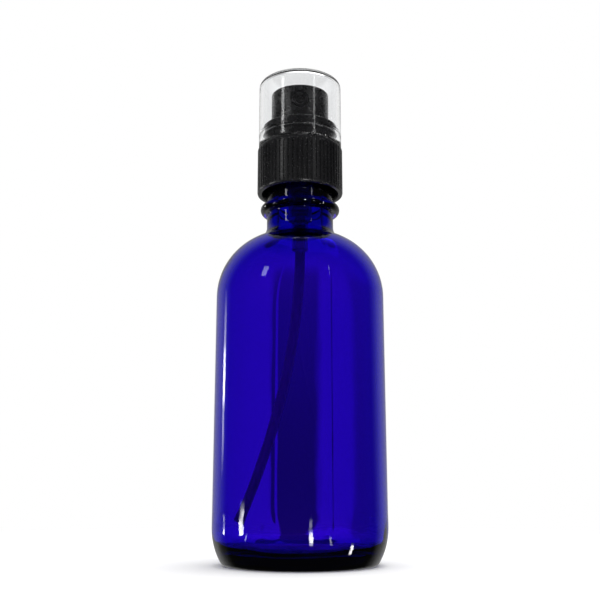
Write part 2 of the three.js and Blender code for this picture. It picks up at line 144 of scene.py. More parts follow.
def rounded(corners, closed):
    """The outline's points, with each corner's fillet turned into an arc of points."""
    points = []
    last = len(corners) - 1
    for i, (x, z, fillet) in enumerate(corners):
        if fillet == 0 or (not closed and i in (0, last)):
            points.append((x, z))
            continue
        here = Vector((x, z))
        before = Vector(corners[i - 1][:2]) - here
        after = Vector(corners[(i + 1) % len(corners)][:2]) - here
        bend = before.angle(after)
        if bend > math.pi - 0.02:
            points.append((x, z))
            continue
        reach = fillet / math.tan(bend / 2)
        limit = 0.48 * min(before.length, after.length)
        if reach > limit:
            reach = limit
            fillet = reach * math.tan(bend / 2)
        inward = (before.normalized() + after.normalized()).normalized()
        centre = here + inward * (fillet / math.sin(bend / 2))
        start = here + before.normalized() * reach - centre
        end = here + after.normalized() * reach - centre
        first = math.atan2(start.y, start.x)
        turn = (math.atan2(end.y, end.x) - first + math.pi) % (2 * math.pi) - math.pi
        points += arc(centre.x, centre.y, fillet, math.degrees(first), math.degrees(first + turn), 15.0)
    return points


def divided(points, longest, closed=False):
    """The same outline with no step longer than longest."""
    result = []
    ends = points[1:] + (points[:1] if closed else [])
    for a, b in zip(points, ends):
        count = max(1, math.ceil(math.dist(a, b) / longest))
        result += [(a[0] + (b[0] - a[0]) * i / count, a[1] + (b[1] - a[1]) * i / count) for i in range(count)]
    return result if closed else result + [points[-1]]


# ---------- meshes ----------

def piece(name, vertices, faces, node, material):
    """A smooth-shaded mesh in the row frame that stands for a CAD node and rides on its body."""
    mesh = bpy.data.meshes.new(name)
    mesh.from_pydata([Vector(v) * MM for v in vertices], [], faces)
    mesh.validate()
    mesh.shade_smooth()
    mesh.set_sharp_from_angle(angle=math.radians(50))
    obj = bpy.data.objects.new(name, mesh)
    bpy.context.scene.collection.objects.link(obj)
    mesh.materials.append(material)
    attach(obj, BODY_OF[node])
    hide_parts(node)
    return obj


def turned(outline, segments, closed, base=0.0, shape=None):
    """Vertices and faces of an outline turned about Z.

    shape(radius, height, angle) gives a moved (radius, height).
    """
    vertices, rings = [], []
    for x, z in outline:
        if x < 1e-6:
            rings.append([len(vertices)] * segments)
            vertices.append((0, 0, (shape(x, z, 0)[1] if shape else z) + base))
            continue
        rings.append(list(range(len(vertices), len(vertices) + segments)))
        for j in range(segments):
            angle = 2 * math.pi * j / segments
            r, h = shape(x, z, angle) if shape else (x, z)
            vertices.append((r * math.cos(angle), r * math.sin(angle), h + base))
    faces = []
    for a, b in zip(rings, rings[1:] + (rings[:1] if closed else [])):
        for j in range(segments):
            k = (j + 1) % segments
            face = list(dict.fromkeys((a[j], a[k], b[k], b[j])))
            if len(face) > 2:
                faces.append(face)
    return vertices, faces


def turned_piece(name, node, corners, material, closed=True, segments=96, shape=None, longest=None):
    outline = rounded(corners, closed)
    if longest:
        outline = divided(outline, longest, closed)
    vertices, faces = turned(outline, segments, closed, SPRAYER, shape)
    return piece(name, vertices, faces, node, material)


def swept(points, section, sides):
    """A tube along points. section is a list of radii: one for a rod, outer and inner for a pipe."""
    vertices, rings = [], []
    up = Vector((0, 1, 0))
    for i, here in enumerate(points):
        along = (points[min(i + 1, len(points) - 1)] - points[max(i - 1, 0)]).normalized()
        side = up.cross(along).normalized()
        up = along.cross(side)
        loops = []
        for radius in section:
            loops.append(list(range(len(vertices), len(vertices) + sides)))
            for j in range(sides):
                angle = 2 * math.pi * j / sides
                vertices.append(here + (side * math.cos(angle) + up * math.sin(angle)) * radius)
        rings.append(loops)
    faces = []
    for a, b in zip(rings, rings[1:]):
        for j in range(sides):
            k = (j + 1) % sides
            faces.append((a[0][j], a[0][k], b[0][k], b[0][j]))
            if len(section) > 1:
                faces.append((a[1][k], a[1][j], b[1][j], b[1][k]))
    if len(section) > 1:
        for j in range(sides):
            k = (j + 1) % sides
            faces.append((rings[0][0][k], rings[0][0][j], rings[0][1][j], rings[0][1][k]))
            faces.append((rings[-1][0][j], rings[-1][0][k], rings[-1][1][k], rings[-1][1][j]))
    else:
        faces.append(tuple(reversed(rings[0][0])))
        faces.append(tuple(rings[-1][0]))
    return vertices, faces


def cut(obj, vertices, faces):
    """Takes a closed shape away from obj for good."""
    mesh = bpy.data.meshes.new("cutter")
    mesh.from_pydata([Vector(v) * MM for v in vertices], [], faces)
    cutter = bpy.data.objects.new("cutter", mesh)
    bpy.context.scene.collection.objects.link(cutter)
    tool = obj.modifiers.new("cut", "BOOLEAN")
    tool.operation = "DIFFERENCE"
    tool.solver = "EXACT"
    tool.object = cutter
    bpy.context.view_layer.update()
    done = bpy.data.meshes.new_from_object(obj.evaluated_get(bpy.context.evaluated_depsgraph_get()))
    obj.modifiers.clear()
    obj.data = done
    bpy.data.objects.remove(cutter)
    done.shade_smooth()
    done.set_sharp_from_angle(angle=math.radians(40))


# ---------- materials ----------

class Nodes:
    """A short way to write the node tree of a material, a lamp or the world."""

    def __init__(self, owner, output="ShaderNodeOutputMaterial"):
        owner.use_nodes = True
        self.owner = owner
        self.tree = owner.node_tree
        self.tree.nodes.clear()
        self.output = self.add(output)

    def add(self, kind, **values):
        made = self.tree.nodes.new(kind)
        for key, value in values.items():
            if key in made.inputs:
                made.inputs[key].default_value = value
            else:
                setattr(made, key, value)
        return made

    def link(self, source, target):
        self.tree.links.new(source, target)

    def feed(self, target, value):
        """Gives an input another node's output or a plain number."""
        if isinstance(value, bpy.types.NodeSocket):
            self.link(value, target)
        else:
            target.default_value = value

    def math(self, operation, first, second=0.0):
        made = self.add("ShaderNodeMath", operation=operation)
        self.feed(made.inputs[0], first)
        self.feed(made.inputs[1], second)
        return made.outputs["Value"]

    def ranged(self, value, start, end, low, high, smooth=True):
        """A value from start to end, turned into one from low to high and held at both ends."""
        made = self.add("ShaderNodeMapRange", interpolation_type="SMOOTHSTEP" if smooth else "LINEAR")
        names = ("Value", "From Min", "From Max", "To Min", "To Max")
        for name, given in zip(names, (value, start, end, low, high)):
            self.feed(made.inputs[name], given)
        return made.outputs["Result"]

    def noise(self, scale, detail=3.0, stretch=(1, 1, 1)):
        mapping = self.add("ShaderNodeMapping")
        mapping.inputs["Scale"].default_value = stretch
        self.link(self.add("ShaderNodeTexCoord").outputs["Object"], mapping.inputs["Vector"])
        made = self.add("ShaderNodeTexNoise", Scale=scale, Detail=detail)
        self.link(mapping.outputs["Vector"], made.inputs["Vector"])
        return made.outputs["Fac"]

    def spread(self, value, low, high):
        """A noise value, which stays near its middle, stretched to fill low to high."""
        return self.ranged(value, 0.3, 0.7, low, high, False)

    def bump(self, height, distance, strength=1.0):
        made = self.add("ShaderNodeBump", Strength=strength, Distance=distance)
        self.link(height, made.inputs["Height"])
        return made.outputs["Normal"]

    def blend(self, factor, first, second):
        made = self.add("ShaderNodeMixShader")
        self.feed(made.inputs["Fac"], factor)
        self.link(first, made.inputs[1])
        self.link(second, made.inputs[2])
        return made.outputs["Shader"]

    def clear_to_lamps(self, shader):
        """Lets lamplight through in straight lines, so that what is inside a clear shell is lit."""
        ray = self.add("ShaderNodeLightPath")
        gap = self.add("ShaderNodeBsdfTransparent")
        return self.blend(ray.outputs["Is Shadow Ray"], shader, gap.outputs["BSDF"])


def material_nodes(name):
    return Nodes(bpy.data.materials.new(name))


def mix_colour(nodes, factor, first, second):
    """A colour between two, by a node's value."""
    ramp = nodes.add("ShaderNodeValToRGB")
    ramp.color_ramp.elements[0].position = 0.35
    ramp.color_ramp.elements[1].position = 0.65
    ramp.color_ramp.elements[0].color = (*first, 1)
    ramp.color_ramp.elements[1].color = (*second, 1)
    nodes.link(factor, ramp.inputs["Fac"])
    return ramp.outputs["Color"]


def cobalt_glass():
    """Clear glass that swallows light by depth, so thick stretches turn almost black.

    It isn't clear_to_lamps; the absorption is all of the blue.
    """
    nodes = material_nodes("cobalt_glass")
    glass = nodes.add("ShaderNodeBsdfPrincipled", Roughness=0.015, IOR=1.52)
    glass.inputs["Transmission Weight"].default_value = 1.0
    glass.inputs["Base Color"].default_value = (1, 1, 1, 1)
    ripple = nodes.noise(90.0, 2.0, (1, 1, 0.35))
    nodes.link(nodes.bump(ripple, 0.00012, 0.5), glass.inputs["Normal"])
    depth = nodes.add("ShaderNodeVolumeAbsorption", Density=1600.0)
    depth.inputs["Color"].default_value = (0.45, 0.04, 0.90, 1)
    nodes.link(glass.outputs["BSDF"], nodes.output.inputs["Surface"])
    nodes.link(depth.outputs["Volume"], nodes.output.inputs["Volume"])
    return nodes.owner


def moulded_plastic(name, colour, lighter, roughness, grain=900.0, relief=0.000012):
    """Opaque moulded plastic with a fine skin texture and slightly uneven gloss."""
    nodes = material_nodes(name)
    skin = nodes.add("ShaderNodeBsdfPrincipled", IOR=1.49)
    fine = nodes.noise(grain, 4.0)
    broad = nodes.noise(60.0, 2.0)
    nodes.link(mix_colour(nodes, broad, colour, lighter), skin.inputs["Base Color"])
    nodes.link(nodes.spread(fine, roughness - 0.04, roughness + 0.08), skin.inputs["Roughness"])
    nodes.link(nodes.bump(fine, relief), skin.inputs["Normal"])
    nodes.link(skin.outputs["BSDF"], nodes.output.inputs["Surface"])
    return nodes.owner


def clouded_plastic(name, colour, clear, roughness, haze, lit_inside):
    """Unpigmented polyolefin: clear at its core, with a hazy skin that spreads light."""
    nodes = material_nodes(name)
    body = nodes.add("ShaderNodeBsdfPrincipled", IOR=1.49)
    body.inputs["Transmission Weight"].default_value = clear
    fine = nodes.noise(500.0, 3.0)
    streak = nodes.noise(140.0, 2.0, (1, 1, 0.1))
    nodes.link(mix_colour(nodes, streak, colour, tuple(c * 0.93 for c in colour)), body.inputs["Base Color"])
    nodes.link(nodes.spread(fine, roughness - 0.04, roughness + 0.06), body.inputs["Roughness"])
    nodes.link(nodes.bump(fine, 0.00001), body.inputs["Normal"])
    veil = nodes.add("ShaderNodeBsdfTranslucent")
    veil.inputs["Color"].default_value = (*colour, 1)
    both = nodes.blend(haze, body.outputs["BSDF"], veil.outputs["BSDF"])
    nodes.link(nodes.clear_to_lamps(both) if lit_inside else both, nodes.output.inputs["Surface"])
    return nodes.owner


def clear_plastic():
    """Clear styrene with faint moulding ripples."""
    nodes = material_nodes("clear_styrene")
    shell = nodes.add("ShaderNodeBsdfPrincipled", IOR=1.49)
    shell.inputs["Transmission Weight"].default_value = 1.0
    shell.inputs["Base Color"].default_value = (0.985, 0.99, 0.995, 1)
    ripple = nodes.noise(120.0, 2.0, (1, 1, 0.3))
    nodes.link(nodes.spread(nodes.noise(700.0), 0.01, 0.035), shell.inputs["Roughness"])
    nodes.link(nodes.bump(ripple, 0.00004, 0.5), shell.inputs["Normal"])
    nodes.link(nodes.clear_to_lamps(shell.outputs["BSDF"]), nodes.output.inputs["Surface"])
    return nodes.owner


def bright_steel():
    """Drawn stainless steel with fine uneven polish."""
    nodes = material_nodes("bright_steel")
    metal = nodes.add("ShaderNodeBsdfPrincipled", Metallic=1.0)
    fine = nodes.noise(1800.0, 3.0, (1, 1, 0.2))
    nodes.link(mix_colour(nodes, fine, (0.24, 0.23, 0.225), (0.38, 0.37, 0.36)), metal.inputs["Base Color"])
    nodes.link(nodes.spread(fine, 0.14, 0.3), metal.inputs["Roughness"])
    nodes.link(nodes.bump(fine, 0.000006), metal.inputs["Normal"])
    nodes.link(metal.outputs["BSDF"], nodes.output.inputs["Surface"])
    return nodes.owner


GLASS = cobalt_glass()
BLACK = moulded_plastic("black_polypropylene", (0.006, 0.006, 0.007), (0.011, 0.011, 0.012), 0.27)
WHITE = moulded_plastic("white_polyethylene", (0.72, 0.71, 0.68), (0.78, 0.77, 0.74), 0.42)
FOAM = moulded_plastic("foam_liner", (0.74, 0.74, 0.72), (0.84, 0.84, 0.82), 0.8, 1500.0, 0.00006)
HOUSING = clouded_plastic("natural_polypropylene", (0.82, 0.79, 0.76), 0.93, 0.09, 0.10, True)
TUBE = clouded_plastic("natural_polyethylene", (0.83, 0.79, 0.765), 0.55, 0.34, 0.35, False)
CLEAR = clear_plastic()
STEEL = bright_steel()


# ---------- bottle ----------

def smooth(value):
    value = min(1.0, max(0.0, value))
    return value * value * (3 - 2 * value)


def bump(distance, half):
    """A rounded ridge, 1 at its crest and 0 from half away."""
    return math.cos(math.pi * distance / (2 * half)) ** 2 if abs(distance) < half else 0.0


def bottle_outside():
    """From the middle of the base, over the heel, body, shoulder and bead, to the middle of the lip."""
    heel_x = BODY_R - HEEL_R
    rise = HEEL_Z - HEEL_CORNER
    reach = HEEL_R - HEEL_CORNER
    corner_x = heel_x + math.sqrt(reach ** 2 - rise ** 2)
    corner_angle = math.degrees(math.asin(-rise / reach))
    shoulder_x = BODY_R - SHOULDER_R
    fillet_x = NECK_R + NECK_FILLET
    span = SHOULDER_R + NECK_FILLET
    fillet_z = SHOULDER_Z + math.sqrt(span ** 2 - (fillet_x - shoulder_x) ** 2)
    end = math.degrees(math.acos((fillet_x - shoulder_x) / span))
    dish = [(0, 1.5), (6, 1.42), (12, 1.1), (15.4, 0.62), (17.4, 0.1), (18.0, 0)]
    body = arc(corner_x, HEEL_CORNER, HEEL_CORNER, -90, corner_angle)
    body += arc(heel_x, HEEL_Z, HEEL_R, corner_angle, 0)[1:]
    body += arc(shoulder_x, SHOULDER_Z, SHOULDER_R, 0, end, 2.0)
    body += arc(fillet_x, fillet_z, NECK_FILLET, end + 180, 180, 6.0)[1:]
    finish = rounded([
        (NECK_R, fillet_z + 0.5, 0),
        (NECK_R, BEAD_Z - BEAD_R, 0.4),
        *[(x, z, 0) for x, z in arc(BEAD_X, BEAD_Z, BEAD_R, -80, 80, 10.0)],
        (NECK_R, BEAD_Z + BEAD_R, 0.5),
        (NECK_R, LIP, 0.7),
        (LIP_MID_R, LIP, 0),
    ], False)
    wall = divided(body + finish, 0.9)
    heel = [point for point in wall if point[1] < HEEL_TOP]
    return divided(dish, 1.2)[:-1] + divided(heel, 0.45) + wall[len(heel):]


def bottle_inside():
    """From the middle of the lip, down the bore and wall, to the middle of the floor."""
    heel_x = BODY_R - HEEL_R
    corner_z = BASE + INNER_CORNER
    reach = HEEL_R - WALL - INNER_CORNER
    corner_x = heel_x + math.sqrt(reach ** 2 - (HEEL_Z - corner_z) ** 2)
    corner_angle = math.degrees(math.asin((corner_z - HEEL_Z) / reach))
    shoulder_x = BODY_R - SHOULDER_R
    shoulder_r = SHOULDER_R - WALL
    fillet_x = BORE_R + BORE_FILLET
    span = shoulder_r + BORE_FILLET
    fillet_z = SHOULDER_Z + math.sqrt(span ** 2 - (fillet_x - shoulder_x) ** 2)
    end = math.degrees(math.acos((fillet_x - shoulder_x) / span))
    mouth = rounded([(LIP_MID_R, LIP, 0), (BORE_R, LIP, 0.8), (BORE_R, fillet_z, 0)], False)[1:]
    wall = arc(fillet_x, fillet_z, BORE_FILLET, 180, end + 180, 6.0)
    wall += arc(shoulder_x, SHOULDER_Z, shoulder_r, end, 0, 3.0)[1:]
    wall += arc(heel_x, HEEL_Z, HEEL_R - WALL, 0, corner_angle)
    wall += arc(corner_x, corner_z, INNER_CORNER, corner_angle, -90)[1:]
    return divided(mouth[:-1] + wall + [(7, BASE + 0.5), (0, BASE + 0.8)], 1.0)


def heel_wave(x, z, angle):
    """The slight waviness that a mould leaves in the outside of the heel."""
    around = Vector((x * math.cos(angle), x * math.sin(angle), z)) / HEEL_WAVE_LENGTH
    return HEEL_WAVE * smooth((z - 2.0) / 3.0) * smooth((HEEL_TOP - z) / 5.0) * noise.noise(around)


def outside_relief(x, z, angle):
    """The thread on the finish, the parting line, the heel's waviness and the bearing ring's stipple."""
    turn = angle / (2 * math.pi)
    x += heel_wave(x, z, angle)
    if z > BEAD_Z + BEAD_R:
        fade = smooth(min(turn, 1 - turn) / THREAD_FADE)
        x += THREAD_HEIGHT * fade * bump(z - THREAD_Z - PITCH * turn, THREAD_HALF)
    elif HEEL_Z < z < SHOULDER_Z + SHOULDER_R:
        for seam in SEAM_ANGLES:
            x += SEAM_HEIGHT * bump((angle - seam) * BODY_R, SEAM_HALF)
    if z < 0.3 and 16.5 < x < 21:
        z += STIPPLE_DEPTH * (1 + math.cos(STIPPLES * angle)) * bump(x - STIPPLE_R, STIPPLE_HALF)
    return x, z


def inside_relief(x, z, angle):
    """Blown glass: the wall's thickness wanders around and along the bottle, and the floor is lumpy."""
    sway = 0.16 * math.cos(angle - 1.45) - 0.14 * math.cos(2 * angle) - 0.05 * math.sin(5 * angle)
    reach = smooth((z - 6) / 12) * smooth((SHOULDER_Z + 14 - z) / 16)
    around = Vector((x * math.cos(angle), x * math.sin(angle), z))
    lump = noise.noise(around / 9.0 + Vector((0, 0, 3)))
    low = smooth((13 - z) / 8)
    dent = 0.30 * lump * low * (1 if z > BASE + 2 else 0.35) * smooth(x / 8)
    return x - sway * reach + dent, z + 0.35 * lump * low


def make_bottle():
    outside = bottle_outside()
    inside = bottle_inside()
    inner = set(inside)

    def relief(x, z, angle):
        return inside_relief(x, z, angle) if (x, z) in inner else outside_relief(x, z, angle)

    vertices, faces = turned(outside + inside, 360, False, shape=relief)
    return piece("glass_bottle", vertices, faces, "bottle", GLASS)


# ---------- sprayer ----------

def make_closure():
    """The ribbed skirt with its thread, the deck, and the collar that the overcap clips to."""
    corners = [
        (SKIRT_BORE + 0.3, RIM, 0.15),
        (SKIRT_R - 0.15, RIM, 0.2),
        (SKIRT_R, RIM + 0.5, 0.3),
        (SKIRT_R, 4.5, 0.5),
        (SKIRT_R - 0.6, DECK, 0.5),
        (COLLAR_R, DECK, 0.3),
        (COLLAR_R, 8.1, 0.2),
        (11.2, 8.75, 0.3),
        (COLLAR_R, 9.4, 0.2),
        (COLLAR_R, 12.0, 0.35),
        (COLLAR_BORE, 12.0, 0.25),
        (COLLAR_BORE, DECK, 0.3),
        (5.0, DECK, 0.15),
        (5.0, 4.1, 0.15),
        (SKIRT_BORE, 4.1, 0.4),
        (SKIRT_BORE, RIM + 0.7, 0.3),
    ]
    lead = 30 / 360
    first = THREAD_Z - LIP - PITCH / 2

    def ribbed(x, z, angle):
        turn = angle / (2 * math.pi)
        if x > SKIRT_R - 0.3 and RIM + 0.4 < z < 4.9:
            ends = smooth((z - RIM - 0.6) / 0.5) * smooth((4.4 - z) / 0.6)
            groove = smooth((math.cos(RIBS * angle) + 0.55) / 0.5)
            x -= RIB_DEPTH * ends * (1 - groove)
        if abs(x - SKIRT_BORE) < 0.05 and RIM + 0.7 < z < 3.6 and lead < turn < 1 - lead:
            fade = smooth(min(turn - lead, 1 - lead - turn) / THREAD_FADE)
            x -= SKIRT_THREAD_HEIGHT * fade * bump(z - first - PITCH * turn, SKIRT_THREAD_HALF)
        return x, z

    return turned_piece("screw_closure", "closure", corners, BLACK, segments=480, shape=ribbed, longest=0.3)


def make_gasket():
    low, high = (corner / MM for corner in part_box("closure_gasket"))
    inner, outer = 4.35, high.x
    corners = [
        (inner, low.z - SPRAYER, 0.15),
        (outer, low.z - SPRAYER, 0.3),
        (outer, high.z - SPRAYER, 0.3),
        (inner, high.z - SPRAYER, 0.15),
    ]
    return turned_piece("liner_gasket", "closure_gasket", corners, FOAM)


def make_housing():
    corners = [
        (3.0, -8.8, 0.2),
        (2.15, -8.8, 0.15),
        (2.15, -17.0, 0.2),
        (0.92, -17.0, 0.1),
        (0.92, -17.3, 0.1),
        (1.25, -17.3, 0.05),
        (1.25, -18.95, 0.1),
        (0.6, -19.6, 0.05),
        (0.6, -20.5, 0.05),
        (1.45, -20.5, 0.1),
        (1.45, -26.0, 0.12),
        (2.3, -26.0, 0.2),
        (2.45, -20.2, 0.3),
        (2.45, -19.6, 0.3),
        (3.5, -18.8, 0.5),
        (3.5, -9.6, 0.5),
        (4.3, -8.6, 0.5),
        (4.3, 1.6, 0.3),
        (9.0, 1.6, 0.2),
        (9.0, FLANGE_TOP, 0.2),
        (3.0, FLANGE_TOP, 0.15),
    ]
    return turned_piece("pump_barrel", "pump_housing", corners, HOUSING, segments=128)


def make_chaplet():
    corners = [
        (2.0, 1.2, 0.1),
        (2.95, 1.2, 0.15),
        (2.95, 2.85, 0.1),
        (7.6, 2.85, 0.15),
        (7.6, 4.0, 0.25),
        (4.6, 4.0, 0.2),
        (4.6, 7.5, 0.3),
        (2.0, 7.5, 0.3),
    ]
    return turned_piece("stem_guide", "chaplet", corners, WHITE)


def make_inner_parts():
    turned_piece("stem_ring_seal", "stem_seal", [
        (2.0, 0.3, 0.1), (2.95, 0.3, 0.15), (2.95, 1.15, 0.15), (2.0, 1.15, 0.1),
    ], WHITE)
    turned_piece("hollow_stem", "stem", [
        (0.85, -4.0, 0.1), (1.3, -4.0, 0.15), (1.3, 0.6, 0.1), (1.9, 0.6, 0.25),
        (1.9, 17.0, 0.25), (0.85, 17.0, 0.1),
    ], HOUSING)
    turned_piece("pump_piston", "piston", [
        (1.4, -4.0, 0.1), (2.95, -4.0, 0.1), (2.95, -3.5, 0.2), (2.55, -3.0, 0.2),
        (2.55, -1.0, 0.2), (2.95, -0.5, 0.2), (2.95, 0.0, 0.1), (1.4, 0.0, 0.1),
    ], WHITE)
    turned_piece("valve_stem", "valve_post", [
        (0, -9.6, 0), (1.0, -9.6, 0.2), (1.3, -9.2, 0.2), (1.3, -8.0, 0.1), (1.9, -8.0, 0.15),
        (1.9, -4.1, 0.3), (0.75, -4.1, 0.1), (0.75, -1.5, 0.2), (0, -1.5, 0),
    ], HOUSING, closed=False)


def spring_height(share):
    """Both end coils lie closed, and the turns between share the rest of the height."""
    dead = 1 / SPRING_TURNS
    bottom, top = SPRING_BOTTOM + WIRE_R, SPRING_TOP - WIRE_R
    rise = 2 * WIRE_R + 0.06
    if share < dead:
        return bottom + rise * share / dead
    if share > 1 - dead:
        return top - rise * (1 - share) / dead
    return bottom + rise + (top - bottom - 2 * rise) * (share - dead) / (1 - 2 * dead)


def make_spring():
    steps = SPRING_TURNS * 48
    points = []
    for i in range(steps + 1):
        share = i / steps
        angle = 2 * math.pi * SPRING_TURNS * share
        height = SPRAYER + spring_height(share)
        points.append(Vector((SPRING_R * math.cos(angle), SPRING_R * math.sin(angle), height)))
    vertices, faces = swept(points, [WIRE_R], 12)
    spring = piece("coil_spring", vertices, faces, "return_spring", STEEL)
    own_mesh(spring)


def make_ball():
    low, high = (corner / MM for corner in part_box("check_ball"))
    centre = (low.z + high.z) / 2 - SPRAYER
    radius = 1
    outline = arc(0, centre, radius, -90, 90, 6.0)
    outline[0] = (0, centre - radius)
    outline[-1] = (0, centre + radius)
    vertices, faces = turned(outline, 48, False, SPRAYER)
    piece("inlet_ball", vertices, faces, "check_ball", STEEL)


def make_tube():
    """Straight in its socket, then one steady curve towards -X down to the tip."""
    straight = TUBE_TOP - SOCKET_END
    sweep = math.asin((SOCKET_END - TUBE_TIP) / TUBE_CURL)
    length = straight + TUBE_CURL * sweep
    steps = 120
    points = []
    for i in range(steps + 1):
        along = length * i / steps
        if along <= straight:
            points.append(Vector((0, 0, SPRAYER + TUBE_TOP - along)))
        else:
            angle = (along - straight) / TUBE_CURL
            aside = TUBE_CURL * (1 - math.cos(angle))
            points.append(Vector((-aside, 0, SPRAYER + SOCKET_END - TUBE_CURL * math.sin(angle))))
    vertices, faces = swept(points, [TUBE_R, TUBE_BORE], 40)
    piece("curved_dip_tube", vertices, faces, "dip_tube", TUBE)


def towards_front(vertices, height):
    """Turns a shape made about Z so that its axis points to -Y at a height."""
    turn = Matrix.Translation((0, 0, SPRAYER + height)) @ Matrix.Rotation(math.pi / 2, 4, "X")
    return [turn @ Vector(v) for v in vertices]


def make_actuator():
    dish = 1.3
    rim = ACTUATOR_R - 0.8
    radius = (rim ** 2 + dish ** 2) / (2 * dish)
    half = math.degrees(math.asin(rim / radius))
    top = 22.5
    pad = [(x, z, 0) for x, z in arc(0, top - dish + radius, radius, half - 90, -90, 1.5)][1:-1]
    corners = [
        (0, NOZZLE_Z + 0.6, 0),
        (0.85, NOZZLE_Z + 0.6, 0.1),
        (0.85, 17.05, 0.05),
        (1.95, 17.05, 0.1),
        (1.95, 12.8, 0.2),
        (3.4, 12.8, 0.3),
        (3.4, 13.8, 0.3),
        (ACTUATOR_R - 1.2, 13.8, 0.5),
        (ACTUATOR_R - 1.2, 10.9, 0.2),
        (ACTUATOR_R, 10.9, 0.3),
        (ACTUATOR_R, 11.9, 0.1),
        (ACTUATOR_R - 0.12, 12.05, 0.1),
        (ACTUATOR_R - 0.12, 12.35, 0.1),
        (ACTUATOR_R, 12.5, 0.1),
        (ACTUATOR_R, top, 0.8),
        (rim, top, 0.4),
        *pad,
        (0, top - dish, 0),
    ]
    button = turned_piece("press_actuator", "actuator", corners, BLACK, closed=False, segments=192)
    mouth = ACTUATOR_R + 2
    pocket = [(0, ACTUATOR_R - 3), (NOZZLE_R, ACTUATOR_R - 3), (NOZZLE_R, ACTUATOR_R - 0.6),
              (NOZZLE_R + 0.5, ACTUATOR_R - 0.1), (NOZZLE_R + 0.8, mouth), (0, mouth)]
    vertices, faces = turned(pocket, 64, False)
    cut(button, towards_front(vertices, NOZZLE_Z), faces)
    channel = [(0, 0.2), (0.5, 0.2), (0.5, ACTUATOR_R - 2.9), (0, ACTUATOR_R - 2.9)]
    vertices, faces = turned(channel, 24, False)
    cut(button, towards_front(vertices, NOZZLE_Z), faces)


def make_nozzle():
    back, front, rim = ACTUATOR_R - 2.95, ACTUATOR_R - 0.35, NOZZLE_R - 0.05
    corners = [
        (0.6, back, 0.1),
        (rim, back, 0.15),
        (rim, front, 0.2),
        (1.5, front, 0.1),
        (1.25, front - 0.35, 0.1),
        (0.75, front - 0.35, 0.1),
        (0.2, front - 0.6, 0.05),
        (0.2, front - 0.9, 0),
        (0.6, front - 0.9, 0),
    ]
    vertices, faces = turned(rounded(corners, True), 64, True)
    piece("orifice_insert", towards_front(vertices, NOZZLE_Z), faces, "nozzle_insert", BLACK)


def make_overcap():
    inside, outside = 11.5, 12.5
    ceiling, top = 25.5, 26.5
    corners = [
        (0, ceiling, 0),
        (inside, ceiling, 0.9),
        (inside, 10.2, 0.1),
        (inside - 0.12, 9.9, 0.1),
        (inside - 0.12, 9.5, 0.1),
        (inside, 9.2, 0.1),
        (inside, 5.6, 0.2),
        (outside, 5.6, 0.25),
        (outside, top, 1.5),
        (1.6, top, 0.1),
        (1.3, 26.3, 0.1),
        (0, 26.3, 0),
    ]
    turned_piece("clear_overcap", "overcap", corners, CLEAR, closed=False, segments=192, longest=1.5)


make_bottle()
make_closure()
make_gasket()
make_housing()
make_chaplet()
make_inner_parts()
make_spring()
make_ball()
make_tube()
make_actuator()
make_nozzle()
make_overcap()


# ---------- studio ----------

# Slopes to the right of straight ahead, and up from it, between which the backdrop's shade comes and goes.
SHADE_LEFT = (-0.056, -0.038)
SHADE_RIGHT = (0.024, 0.042)
DIM_FAR_RIGHT = (0.095, 0.135)
SHADE_FALL = (-0.20, 0.10)
SHADE_TOP = (0.05, 0.13)


